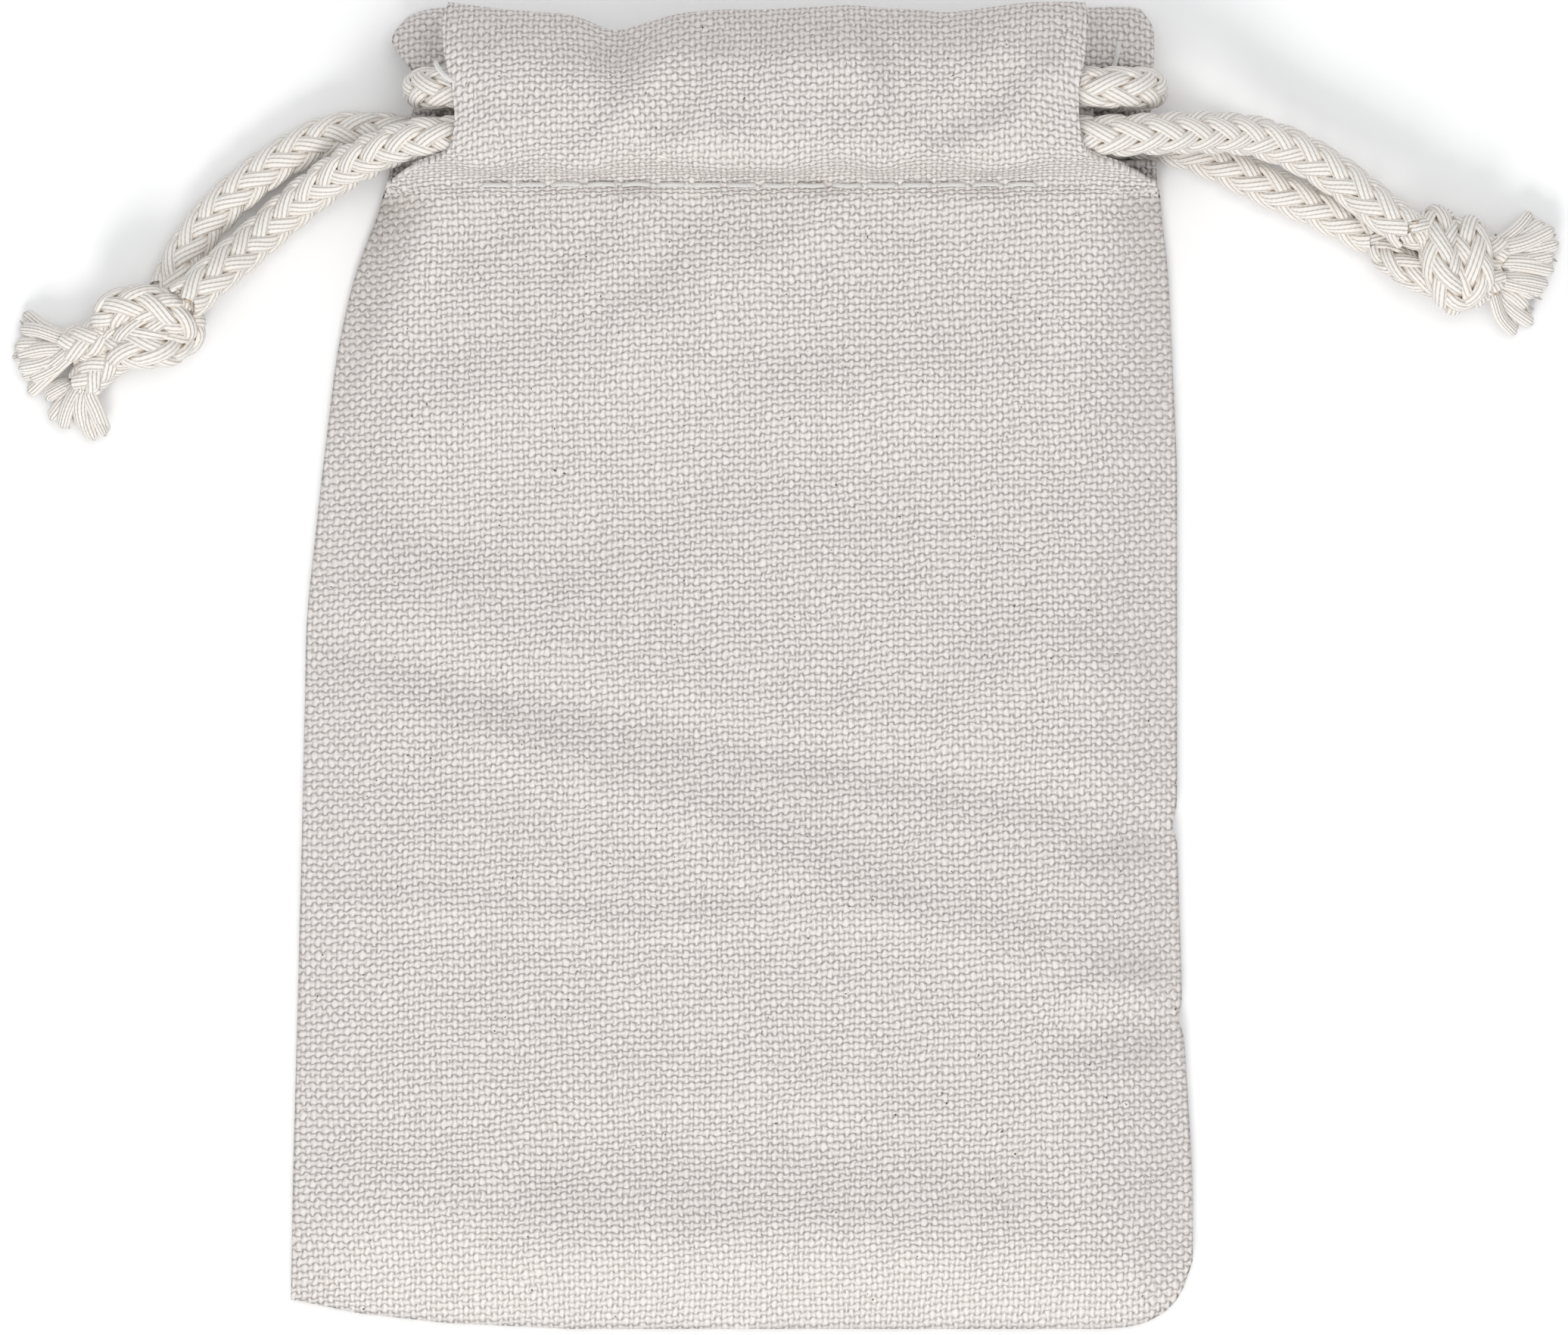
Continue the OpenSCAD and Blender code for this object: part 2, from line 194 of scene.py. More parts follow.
# Both routes are lists of points in mm. Inside each casing the
# two cords cross, one over the other, at these places across the pouch.
front_cross, back_cross = 3.0, -2.0
front_level = 10.0
left_route = [
    (-63.8, 41.8, 8), (-60.6, 44.8, 6.8), (-55.6, 49.2, 4), (-51, 53.2, 4),
    (-46, 56.8, 7.2), (-41, 59.2, 11.8), (-36.5, 60.4, 15), (-31, 60.6, 16.5),
    (-19, 60.6, 16.5), (-13, 60.8, 17.4), (-9, 61, 18.2), (-5, 61.6, 18.7),
    (-1, 62.5, 18.7), (3, 63.5, 18.7), (7, 64.5, 18.7), (11, 65.6, 18.7),
    (15, 66.5, 18.2), (19, 66.4, 17.4), (25, 66.2, 16.5), (32, 66.2, 16.5),
    (40, 66.2, 16.5), (43.3, 66.2, 15.6), (45.6, 66.2, 13.3), (46.5, 66.2, 10),
    (45.6, 66.2, 6.7), (43.3, 66.2, 4.4), (40, 66.2, 3.5), (30, 66.2, 3.5),
    (20, 66.2, 3.5), (14, 66.4, 3.3), (10, 66.5, 2.8), (6, 65.6, 2.5),
    (2, 64.5, 2.5), (-2, 63.5, 2.5), (-6, 62.5, 2.5), (-10, 61.6, 2.5),
    (-14, 61, 2.8), (-18, 60.8, 3.3), (-24, 60.6, 3.5), (-31, 60.6, 3.5),
    (-37, 60.8, 3.5), (-42, 61.4, 3.3), (-47, 61.2, 3), (-52.4, 58.6, 2.8),
    (-57, 55.3, 2.8), (-60.8, 51.7, 2.8), (-63.8, 47.6, 2.8), (-65.8, 43.4, 2.8),
]
right_route = [
    (76.5, 50, 8.2), (72.5, 53, 7.4), (68.5, 56.2, 6.6), (63.5, 59.2, 6.2),
    (58.5, 60.9, 7.6), (53.5, 61.2, 10.6), (48, 61, 14), (43, 60.7, 16),
    (37, 60.6, 16.5), (25, 60.6, 16.5), (19, 60.8, 16.3), (15, 61, 15.8),
    (11, 61.6, 15.5), (7, 62.5, 15.5), (3, 63.5, 15.5), (-1, 64.5, 15.5),
    (-5, 65.6, 15.5), (-9, 66.5, 15.8), (-13, 66.4, 16.3), (-19, 66.2, 16.5),
    (-25, 66.2, 16.5), (-30, 66.2, 16.5), (-33.3, 66.2, 15.6), (-35.6, 66.2, 13.3),
    (-36.5, 66.2, 10), (-35.6, 66.2, 6.7), (-33.3, 66.2, 4.4), (-30, 66.2, 3.5),
    (-24, 66.2, 3.5), (-18, 66.4, 4.4), (-14, 66.5, 5.2), (-10, 65.6, 5.7),
    (-6, 64.5, 5.7), (-2, 63.5, 5.7), (2, 62.5, 5.7), (6, 61.6, 5.7),
    (10, 61, 5.2), (14, 60.8, 4.4), (20, 60.6, 3.5), (30, 60.6, 3.5),
    (38, 60.6, 3.5), (43, 60.6, 3.5), (47, 60.4, 3.4), (51.5, 59.4, 3.1),
    (55.8, 57.6, 2.8), (61, 55, 2.8), (66.5, 52.6, 2.8), (72.5, 49.6, 2.8),
]


def smooth_line(points, spacing):
    """A smooth line through points in mm. spacing(x) is the distance between its rings."""
    p = np.array(points, float)
    p = np.vstack([2 * p[0] - p[1], p, 2 * p[-1] - p[-2]])
    steps_between = 24
    t = np.linspace(0, 1, steps_between, endpoint=False)[:, None]
    dense = [
        0.5
        * (
            2 * b
            + (c - a) * t
            + (2 * a - 5 * b + 4 * c - d) * t**2
            + (3 * b - a - 3 * c + d) * t**3
        )
        for a, b, c, d in zip(p, p[1:], p[2:], p[3:])
    ]
    dense = np.vstack(dense + [p[-2:-1]])
    run = np.r_[0, np.cumsum(np.linalg.norm(np.diff(dense, axis=0), axis=1))]
    stops = [0.0]
    while stops[-1] < run[-1]:
        stops.append(stops[-1] + spacing(np.interp(stops[-1], run, dense[:, 0])))
    stops = np.array(stops) * run[-1] / stops[-1]
    return np.stack([np.interp(stops, run, dense[:, k]) for k in range(3)], 1), stops


def unit(v):
    return v / np.maximum(np.linalg.norm(v, axis=-1, keepdims=True), 1e-9)


def ring_frames(line):
    """The way, level side and upper side of a line at each of its points."""
    way = unit(np.gradient(line, axis=0))
    side = np.array([-way[0][1], way[0][0], 0.0])
    sides = []
    for w in way:
        side = unit(side - w * (side @ w))
        sides.append(side)
    sides = np.array(sides)
    return way, sides, np.cross(way, sides)


def lay_grid(bm, points, across, along, layers, depth=1.0):
    """Lays a grid of quads on points, an array of (rows, columns, 3) in mm. across and
    along are its own coordinates, and depth how open to the light each point is."""
    rows, columns = points.shape[:2]
    made = bmesh.ops.create_grid(
        bm, x_segments=columns - 1, y_segments=rows - 1, size=0.5
    )["verts"]
    uv, open_layer = layers
    across = np.broadcast_to(across, (rows, columns)).ravel()
    along = np.broadcast_to(along, (rows, columns)).ravel()
    depth = np.broadcast_to(depth, (rows, columns)).ravel()
    bm.verts.index_update()
    first = made[0].index
    for vert, place, d in zip(made, points.reshape(-1, 3) * MM, depth):
        vert.co = place
        vert[open_layer] = d
    for face in {f for v in made for f in v.link_faces}:
        for loop in face.loops:
            k = loop.vert.index - first
            loop[uv].uv = (across[k], along[k])
    return made


def new_fibre_mesh():
    """A mesh with its own coordinates, and how open to the light each point is."""
    bm = bmesh.new()
    return bm, (bm.loops.layers.uv.new("UVMap"), bm.verts.layers.float.new("open"))


strands_each_way = 6
braid_turn = 23.0
strand_w, strand_t = 1.95, 0.8
strand_wave, strand_bow = 0.34, 0.16
strand_steepness = 2.2
strand_ring = np.linspace(0, 2 * math.pi, 10)
core_ring = np.linspace(0, 2 * math.pi, 9)
core_share = 0.62


def braid(bm, layers, line, run, radius=cord_d / 2, squeeze=None, start=0.0, stretch=1.0):
    """Braids twelve strands and a core along a line. squeeze is the share of its
    height that the cord keeps at each ring."""
    way, side, up = ring_frames(line)
    scale = radius / (cord_d / 2)
    keep = np.ones(len(line)) if squeeze is None else squeeze
    middle = radius - (strand_wave + strand_t / 2) * scale

    def press(points):
        away = points - line[:, None]
        away[..., 2] *= keep[:, None]
        away[..., 1] /= keep[:, None]
        return line[:, None] + away

    for direction in (1, -1):
        for k in range(strands_each_way):
            angle = 2 * math.pi * (k / strands_each_way + run / (braid_turn * stretch * direction))
            angle += start + (math.pi / strands_each_way if direction < 0 else 0)
            # Half its crossings lie over and half under, two by two.
            meeting = strands_each_way / 2 * (angle - start)
            over = np.tanh(strand_steepness * np.cos(meeting)) * direction
            r = middle + strand_wave * scale * over
            out = side * np.cos(angle)[:, None] + up * np.sin(angle)[:, None]
            centre = line + out * r[:, None]
            tangent = unit(np.gradient(centre, axis=0))
            wide = unit(np.cross(tangent, out))
            x = np.cos(strand_ring) * strand_w / 2 * scale
            y = np.sin(strand_ring) * strand_t / 2 * scale
            y = y - strand_bow * scale * np.cos(strand_ring) ** 2
            points = (
                centre[:, None]
                + wide[:, None] * x[None, :, None]
                + out[:, None] * y[None, :, None]
            )
            open_to_light = 0.5 + 0.5 * over[:, None] - 0.5 * np.cos(strand_ring)[None, :] ** 4
            lay_grid(
                bm, press(points), np.cos(strand_ring)[None, :], run[:, None], layers,
                np.clip(open_to_light, 0, 1),
            )
    # The soft core gets no share of light, so it is painted all in shade.
    points = line[:, None] + radius * core_share * (
        side[:, None] * np.cos(core_ring)[None, :, None]
        + up[:, None] * np.sin(core_ring)[None, :, None]
    )
    lay_grid(bm, press(points), core_ring[None, :], run[:, None], layers, 0.0)


# Cotton yarn: off-white, with painted shade in tan in the gaps between strands and between yarns,
# where the light doesn't reach.
cotton, shader, at = new_material("cotton_yarn", "UV", Roughness=0.88, Sheen_Weight=0.15)
across, along = (at.node("SeparateXYZ", None, {0: at}, k) for k in (0, 1))
yarn = (across * 2.0).math("PINGPONG", across * 2.0 + 0.5, 0.5) * 2.0
ply = (along * 1.9 + across * 2.6).math("PINGPONG", along * 1.9 + across * 2.6, 0.5) * 2.0
wander = noise(at, 1.7, 3)
light = at.node("Attribute", {"attribute_name": "open"}, output=2)
furrow = 1.0 - (1.0 - yarn).math("POWER", 1.0 - yarn, 3.0)
# Painted shade: a small share of light, or a furrow between yarns, turns the colour towards tan.
shade = light.step(-0.25, 0.6) * (0.66 + 0.34 * furrow.step(0.0, 0.7))
object_place = at.node("TexCoord", output=3)
tone = noise(object_place, 260, 3).mix((0.84, 0.79, 0.735), (0.88, 0.85, 0.81))
paint(
    shader,
    shade.mix((0.55, 0.43, 0.31), tone),
    furrow * 0.6 + ply * 0.12 + wander * 0.25,
    0.00022,
)


hidden_from, hidden_to = -30, 38
hidden_step, seen_step = 1.3, 0.62


def cord_step(x):
    """The rings of a cord stand further apart where the casings hide it."""
    return hidden_step if hidden_from < x < hidden_to else seen_step


def squeeze_at(line):
    """The share of its height that a cord keeps near its crossing with the other."""
    near = np.where(line[:, 2] > front_level, front_cross, back_cross)
    reach = np.abs(line[:, 0] - near)
    return np.interp(reach, [8, 12, 16, 20], [0.6, 0.72, 0.88, 1])


drawstrings = {}
cord_lines = {}
for name, route in (("left_drawstring", left_route), ("right_drawstring", right_route)):
    line, run = smooth_line(route, cord_step)
    bm, layers = new_fibre_mesh()
    braid(bm, layers, line, run, squeeze=squeeze_at(line))
    drawstrings[name] = finish_mesh(bm, name + "_braid", cotton)
    cord_lines[name] = (line, run[-1])
    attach(drawstrings[name], name.split("_")[0] + "_cord")
    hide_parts(name)

# ---- Knots ----
# Both ends of a cord are tied together in one overhand knot. The two ends run
# through its middle, and one thick turn of them wraps round the outside.
# Each path is its radius and its points.
knot_paths = {
    "left": [
        (2.1, [(-62.6, 43, 7.4), (-66, 40.6, 6), (-70, 38.8, 4.6), (-73.4, 37.9, 4.2)]),
        (2.1, [(-65.2, 44.6, 2.9), (-67.4, 41, 3.2), (-70, 37.8, 3.4), (-72.4, 35.6, 3.4)]),
        (2.45, [
            (-68, 39.2, 2.8), (-71, 39, 2.7), (-72.4, 40, 4.6), (-71.2, 41.2, 6.9),
            (-68.4, 41.6, 7.8), (-65.4, 40.6, 7.4), (-63.8, 39.2, 5.2), (-64.4, 37.8, 2.8),
            (-67.5, 37.2, 2.5), (-70.4, 36.8, 3.2), (-71.2, 36.6, 5), (-69.6, 36.6, 6.8),
            (-67.2, 36.5, 7.1), (-65.2, 37.2, 5.4), (-65.4, 38.6, 3.4),
        ]),
        (2.1, [
            (-72.2, 37.4, 3.6), (-71, 38, 6), (-69, 38.7, 7.4), (-66.6, 39.2, 7.3),
            (-64.6, 39.6, 5.6), (-64.2, 40, 3.4),
        ]),
    ],
    "right": [
        (2.2, [(75.6, 50.8, 8.1), (78.6, 49.4, 6.4), (82.4, 47.8, 4.8), (86, 47.4, 4.4)]),
        (2.1, [(71.6, 50, 2.9), (75.4, 48.6, 3), (80, 46.4, 3), (86, 44.8, 3.9)]),
        (2.45, [
            (80, 48, 2.9), (79.6, 50.4, 3.4), (79.8, 50.6, 5.8), (79.8, 48.6, 7.4),
            (80.2, 45.6, 7.8), (81.2, 43.4, 6.6), (82, 42.8, 4.2), (82.2, 44.6, 2.7),
            (82.4, 47.6, 2.7), (83, 49.6, 3.8), (83.4, 49.2, 6), (83.8, 46.8, 7.3),
            (83.9, 44.4, 6.7), (83.2, 43.2, 4.6), (82.6, 44.4, 3.2),
        ]),
        (2.2, [
            (73.6, 48.2, 3), (75.2, 46.6, 4.6), (77.4, 45.2, 5.4), (79.8, 44.4, 4.6),
            (81.4, 44.6, 3.4),
        ]),
    ],
}
knots = {}
knot_step = 0.5
for hand, paths in knot_paths.items():
    bm, layers = new_fibre_mesh()
    for k, (radius, points) in enumerate(paths):
        line, run = smooth_line(points, lambda x: knot_step)
        braid(bm, layers, line, run, radius, start=0.7 * k, stretch=0.85)
    knots[hand] = finish_mesh(bm, hand + "_knot_turns", cotton)
    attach(knots[hand], hand + "_cord")
    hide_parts(hand + "_knot")

# ---- Frayed ends ----
# Past each knot the braid is cut and comes undone. Its strands of four yarns
# spread out like the fingers of a hand, with blunt ends and a few thin threads.


yarn_step = 0.35


def yarn_tube(bm, layers, points, thick, flat=0.7, ply_count=2.0):
    """A loose strand with a rounded tip, flatter than it is wide."""
    line, run = smooth_line(points, lambda x: yarn_step)
    way, side, up = ring_frames(line)
    around = np.linspace(0, 2 * math.pi, 11)
    to_tip = (run[-1] - run) / thick
    taper = np.sqrt(np.clip(1 - (1 - np.clip(to_tip * 1.6, 0, 1)) ** 2, 0.02, 1))
    ridge = 1 + 0.12 * np.cos(around * 4)[None, :]
    reach = thick / 2 * taper[:, None] * ridge
    points = line[:, None] + side[:, None] * (reach * np.cos(around))[..., None]
    points = points + up[:, None] * (reach * flat * np.sin(around))[..., None]
    # Painted shade: each strand is lighter on its top and darker on its underside.
    shade = np.broadcast_to(0.78 + 0.22 * np.sin(around)[None, :], reach.shape)
    lay_grid(bm, points, np.cos(around)[None, :] * ply_count / 2, run[:, None], layers, shade)


# Each tuft: the points and radius of its braided stub, the two angles of its fan in
# degrees, the shortest and longest reach of its strands, and how many there are.
tufts = {
    "left": [
        ([(-72.4, 38.2, 4.3), (-75, 37.4, 3.8), (-77.4, 36.9, 3)], 2.35, 150, 226, (3.4, 6.2), 13),
        ([(-71.8, 35.8, 3.6), (-74, 34.2, 3.2), (-75.8, 32.2, 2.8)], 2.3, 206, 300, (3, 5.4), 12),
    ],
    "right": [
        ([(85, 47.6, 4.6), (86, 47.5, 4.5), (87, 47.6, 4.2)], 2.3, -14, 44, (4.6, 6.8), 11),
        ([(84.8, 44.8, 4.2), (85.6, 44.4, 4), (86.6, 44, 3.7)], 2.2, -66, 6, (3.6, 5.8), 11),
    ],
}
stub_step = 0.45
thin_threads, thin_d = 7, 0.34
frayed = {}
chance = random.Random(7)
for hand, bunches in tufts.items():
    bm, layers = new_fibre_mesh()
    for stub, radius, low, high, reach, count in bunches:
        line, run = smooth_line(stub, lambda x: stub_step)
        braid(bm, layers, line, run, radius, stretch=0.7)
        root = np.array(stub[-1])
        back = unit(root - np.array(stub[-2]))
        for k in range(count):
            share = (k + 0.5) / count
            angle = math.radians(low + (high - low) * share + chance.uniform(-6, 6))
            aim = np.array([math.cos(angle), math.sin(angle), 0])
            across_way = np.array([-back[1], back[0], 0])
            begin = root + across_way * (share - 0.5) * 2.6
            begin = begin + np.array([0, 0, chance.uniform(-1.2, 1.2)])
            length = chance.uniform(*reach) + 0.4
            tip = begin + aim * length
            tip[2] = chance.uniform(0.7, 2.8)
            middle = begin * 0.5 + tip * 0.5 + np.array([0, 0, chance.uniform(0.2, 0.9)])
            middle = middle + np.array([chance.uniform(-0.5, 0.5), chance.uniform(-0.5, 0.5), 0])
            points = [begin - back * 1.2, begin, middle, tip]
            yarn_tube(bm, layers, points, chance.uniform(1.3, 1.8))
        for k in range(thin_threads):
            angle = math.radians(chance.uniform(low, high))
            aim = np.array([math.cos(angle), math.sin(angle), 0])
            length = reach[1] + chance.uniform(-1.2, 0.3)
            tip = root + aim * length
            tip[2] = chance.uniform(0.5, 2.4)
            bend = root * 0.4 + tip * 0.6
            bend[:2] += [chance.uniform(-0.9, 0.9), chance.uniform(-0.9, 0.9)]
            yarn_tube(bm, layers, [root, bend, tip], thin_d, 0.9)
    frayed[hand] = finish_mesh(bm, hand + "_frayed_strands", cotton)
    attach(frayed[hand], hand + "_cord")
    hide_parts(hand + "_frayed_ends")

for hand in ("left", "right"):
    name = hand + "_drawstring"
    line, length = cord_lines[name]
    line[0] * MM
    length * MM
    line * MM

# ---- Pouch cloth ----
# The front and the back are each one piece of unbleached cotton canvas, 0.7 mm
# thick. They are sewn together down the sides and along the bottom, and each
# is folded over at the mouth and sewn down inside, as a tunnel for the cords.
cloth_t = 0.7
half_w, half_len = 51.8, 76.0
casing_y = 54.0
front_base = 13.0
# How far each edge lies inside half_w, and the bottom edge above the lowest point.
left_inset = [
    (0, 0), (0.1, 0.2), (0.4, 1.2), (0.62, 1.8), (0.75, 3.6), (0.86, 5.3), (0.93, 7.3), (1, 10.8),
]
right_inset = [(0, 0), (0.08, 0), (0.24, 1.2), (0.4, 1.8), (0.75, 1.8), (0.93, 2.8), (1, 3.8)]
bottom_lift = [
    (-1, 3.4), (-0.85, 1.8), (-0.66, 0.7), (-0.38, 0), (0.8, 0), (0.86, 0.25), (0.9, 0.8),
    (0.94, 2), (0.965, 3.3), (0.985, 5.2), (1, 8.2),
]


def read(table, at_value, ease=0.02):
    """The value of a table of (place, value) pairs, turned gently at its corners."""
    x, y = np.array(table, float).T
    spread = (x[-1] - x[0]) * ease
    return sum(np.interp(at_value + k * spread, x, y) for k in (-1, -0.5, 0, 0.5, 1)) / 5


def side_x(side, v):
    """The place of a side edge, v being the share of the way from the bottom to the casing."""
    return side * (half_w - read(left_inset if side < 0 else right_inset, v))


def ridge_height(folds, x, y, relief):
    """Soft ridges and hollows: each is its height, its half width, and the line it follows.
    relief is how much higher than in their list they all are."""
    height = np.zeros_like(x)
    for tall, wide, *line in folds:
        nearest = np.full_like(x, 1e9)
        for (x0, y0), (x1, y1) in zip(line, line[1:]):
            run = (x1 - x0) ** 2 + (y1 - y0) ** 2
            t = np.clip(((x - x0) * (x1 - x0) + (y - y0) * (y1 - y0)) / run, 0, 1)
            away = np.hypot(x - x0 - t * (x1 - x0), y - y0 - t * (y1 - y0))
            nearest = np.minimum(nearest, away)
        height += relief * tall * np.exp(-((nearest / wide) ** 2))
    return height


# Creases that a pressed and handled pouch keeps, in mm.
panel_relief, tunnel_relief = 1.89, 1.35
front_folds = [
    (-0.55, 3.2, (-52, 4.6), (-30, -1.6), (-2, -8), (27, -13.2), (51, -17.5)),
    (
        0.45, 3.4, (-29, -8), (-14.7, -13.2), (0.9, -20.4), (14, -26.2), (29.4, -31.4),
        (45, -36.6), (51, -40),
    ),
    (0.3, 1.6, (-50, -26.6), (-33, -27.4), (-14.7, -29.6), (6, -28.4), (19, -28.4)),
    (0.7, 5.5, (-32, 29.5), (-12.1, 37.5), (-1.7, 46.5)),
    (0.6, 4.8, (2, 30), (13.2, 30.9), (22, 33)),
    (-0.45, 4.5, (-38, 16), (-22, 12), (-8, 20), (4, 36)),
    (0.5, 4.2, (28, -1), (37.2, 0.4), (44, -2)),
    (0.35, 3, (45, 27), (38, 16), (33, 4)),
    (0.8, 5, (-24, -69), (6, -66.5), (34, -70), (44, -71)),
    (-0.5, 4.5, (-20, -56), (6, -54), (30, -57)),
    (-0.7, 2.6, (51, -40.3), (45, -41), (38, -42)),
    (0.5, 1.8, (50, -37), (43, -36), (36, -38)),
    (0.45, 1.8, (50, -44), (45, -46.5)),
    (-0.6, 2.4, (51.5, -18), (46, -19), (40, -20)),
    (0.4, 2, (-36, 52), (-40, 40), (-46, 28)),
    (0.35, 2, (27.5, 56), (28.8, 34), (22, 22)),
    (0.45, 2, (-11, 56), (-14, 48), (-21, 42)),
    (0.4, 2, (11, 56), (8.5, 50), (2, 46)),
    (-0.4, 2.2, (-6, 55), (-7, 49), (-11, 44)),
    (-0.3, 2, (18.5, 55), (19, 50)),
    (-0.35, 2.4, (-26, 55), (-30, 48)),
]
# Gathers across the front tunnel, where the cloth is drawn up on its cords.
tunnel_folds = [
    (1.0, 1.9, (-8, 72), (-10.5, 67), (-14, 62), (-18, 57.5)),
    (-0.75, 1.8, (-3.6, 72), (-6, 66), (-8, 62)),
    (0.5, 3, (-19, 66), (-15, 64)),
    (-0.8, 2.2, (-14, 76), (-14.5, 71)),
    (0.8, 1.8, (13, 72), (15, 65), (14, 61), (10.8, 57.5)),
    (-0.7, 1.6, (17.5, 70), (18.2, 64), (16, 58)),
    (0.7, 1.6, (9, 73), (10, 68)),
    (0.85, 1.7, (35, 68), (32, 63.4), (27.6, 59.5), (21, 57.2)),
    (-0.6, 1.8, (30, 68), (26.5, 64), (22, 61)),
    (0.4, 2, (-30, 70), (-29, 62)),
    (-0.5, 2, (-24.5, 60), (-25, 56)),
    (-0.5, 2, (0.5, 70), (-1, 64)),
    (0.4, 2.2, (24, 73), (25, 69)),
]
# Places and half widths where the cloth bulges over the stitch row.
lobes = [(-29, 3), (-18, 3.4), (-2, 5), (5, 3), (15.6, 3), (29, 4)]
# The waves of each fold at the mouth, as pairs of x and y.
fold_line = [
    (-34, 76.1), (-29.4, 75.4), (-24.2, 74.9), (-19, 74.6), (-15.8, 73), (-14.2, 72.5),
    (-12.1, 73.3), (-7.8, 74.6), (-3.5, 75.1), (3.5, 75.2), (9.5, 75.5), (13, 75.7), (16.5, 75.2),
    (19, 75.3), (23.4, 74.7), (27.7, 75.3), (32.9, 76), (39, 76),
]
back_fold_line = [(-41, 73.6), (-38, 75), (-35.6, 76)]
back_fold_line += [(x, y - 0.25) for x, y in fold_line]
back_fold_line += [(43, 76), (46.5, 75.8), (48, 74.6)]
# The cloth is lifted over the crossing cords, by a share that falls off beside them.
reach_of_lift = [(0, 1), (8, 1), (12, 0.85), (16, 0.5), (22, 0), (90, 0)]
press_lift = 1.3
# A casing cut across: pairs of y and height, from its stitch row over the cords, round
# the fold at the mouth and back down inside. The lists after it are the casings' ends,
# as pairs of y and x.
tunnel_profile = [
    (54, 1.4), (55.1, 1.25), (56.1, 1.9), (57.2, 4.2), (58.8, 6.3), (61, 7.05), (64, 7.05),
    (67.5, 7), (70.3, 6.4), (72.6, 5.2), (74.5, 4), (75.6, 2.8), (76, 1.6), (75.6, 0.6),
    (74.5, 0.08), (72, 0), (66, 0), (60, 0), (54.4, 0),
]
front_left_end = [
    (54, -41), (55.4, -40.2), (56.8, -37.4), (58, -34), (59, -33.2), (62.5, -32.6), (66, -33),
    (70, -33.9), (74, -34.2), (76, -33.4),
]
front_right_end = [
    (54, 48), (55.4, 47.2), (56.8, 43.4), (58, 40), (59, 39), (62.5, 38.4), (66, 38.5),
    (70, 39.2), (74, 39.6), (76, 39.2),
]
back_left_end = [
    (54, -41), (57, -40.4), (61, -38.6), (66, -37.3), (69, -37.9), (71.5, -39.3),
    (73.5, -40.3), (75, -39.6), (76, -38.2),
]
back_right_end = [
    (54, 48), (57, 47.6), (61, 47.3), (66, 46.9), (70, 47.3), (74.2, 47.3), (76, 45.8),
]
hem_w, hem_lip = 3.2, 0.25
stitch_pitch, stitch_row = 4.0, 55.1


def spline(points, count):
    """count places along a smooth line through pairs of y and z."""
    line, run = smooth_line([(0, *p) for p in points], lambda x: 0.1)
    stops = np.linspace(0, run[-1], count)
    return np.interp(stops, run, line[:, 1]), np.interp(stops, run, line[:, 2])


def fine_wobble(x, y):
    """Slight unevenness of handled cloth, well under a millimetre."""
    draw = np.random.default_rng(3)
    steepness, waves_each = 0.0016, 5
    height = np.zeros_like(x)
    for size in (34, 22, 15, 10, 7):
        for _ in range(waves_each):
            turn = draw.uniform(0, math.pi)
            place = (x * math.cos(turn) + y * math.sin(turn)) * 2 * math.pi / size
            height += size * steepness * np.sin(place + draw.uniform(0, 6))
    return height


def across_cloth(u, left, right):
    """A place across the cloth: u is -1 at the left edge, 0 at x = 0 and 1 at the right edge."""
    return np.where(u < 0, -u * left, u * right)


# Two nicks in the right edge, where creases run out over it.
edge_nicks, nick_depth, nick_reach = (-18, -40.3), 0.55, 1.3


def panel_points(u, v):
    """Places on a panel at the shares u of its width (-1 to 1) and v of its length, and
    how far each is from the nearer side and from the bottom."""
    u, v = np.meshgrid(u, v)
    left, right = side_x(-1, v), side_x(1, v)
    x = across_cloth(u, left, right)
    low = read(bottom_lift, u, 0.003) - half_len
    y = low + (casing_y - low) * v
    for nick in edge_nicks:
        dip = np.exp(-(((y - nick) / nick_reach) ** 2)) * np.clip((u - 0.9) * 10, 0, 1)
        x = x - nick_depth * dip
    return x, y, np.minimum(x - left, right - x), y - low


# The columns of the mesh stand closer towards the edges, where the cloth curves most.
even = np.linspace(-1, 1, 101)
columns = even * (1 + 0.3 * (1 - even**2))
panel_rows = np.linspace(0, 1, 116)
tunnel_rows, outer_rows = 61, 38


def soften(t):
    return np.sin(math.pi / 2 * np.clip(t, 0, 1))


fold_waves_from = 64.0
lift_from, lift_ease, mouth_ease = 57.0, 3.0, 6.0
bulge_y, bulge_reach, bulge_depth = 57.6, 1.5, 0.8
pucker_depth, pucker_reach = 0.16, 0.9


def tunnel_rows_at(profile, ends, fold, crossing, place):
    """The rows of a casing. place(left, right) gives x for each row's two ends. Returns
    its profile's y and z, the place of each point, how far its hems lift it where it is
    an outer row, and how far the crossing cords do."""
    ys, zs = spline(profile, tunnel_rows + 1)
    ys, zs = ys[1:, None], zs[1:, None]
    left, right = (read(end, ys) for end in ends)
    x = place(left, right)
    wave = np.clip((ys - fold_waves_from) / (half_len - fold_waves_from), 0, 1)
    y = ys + wave * (read(fold, x) - half_len) + 0 * x
    hem = np.clip((left + hem_w - x) / 0.4, 0, 1) + np.clip((x - right + hem_w) / 0.4, 0, 1)
    over_cords = read(reach_of_lift, np.abs(x - crossing))
    lift = press_lift * over_cords * np.clip((ys - lift_from) / lift_ease, 0, 1)
    lift = lift * np.clip((half_len - ys) / mouth_ease, 0, 1)
    return ys, zs, x, y, hem * hem_lip, lift


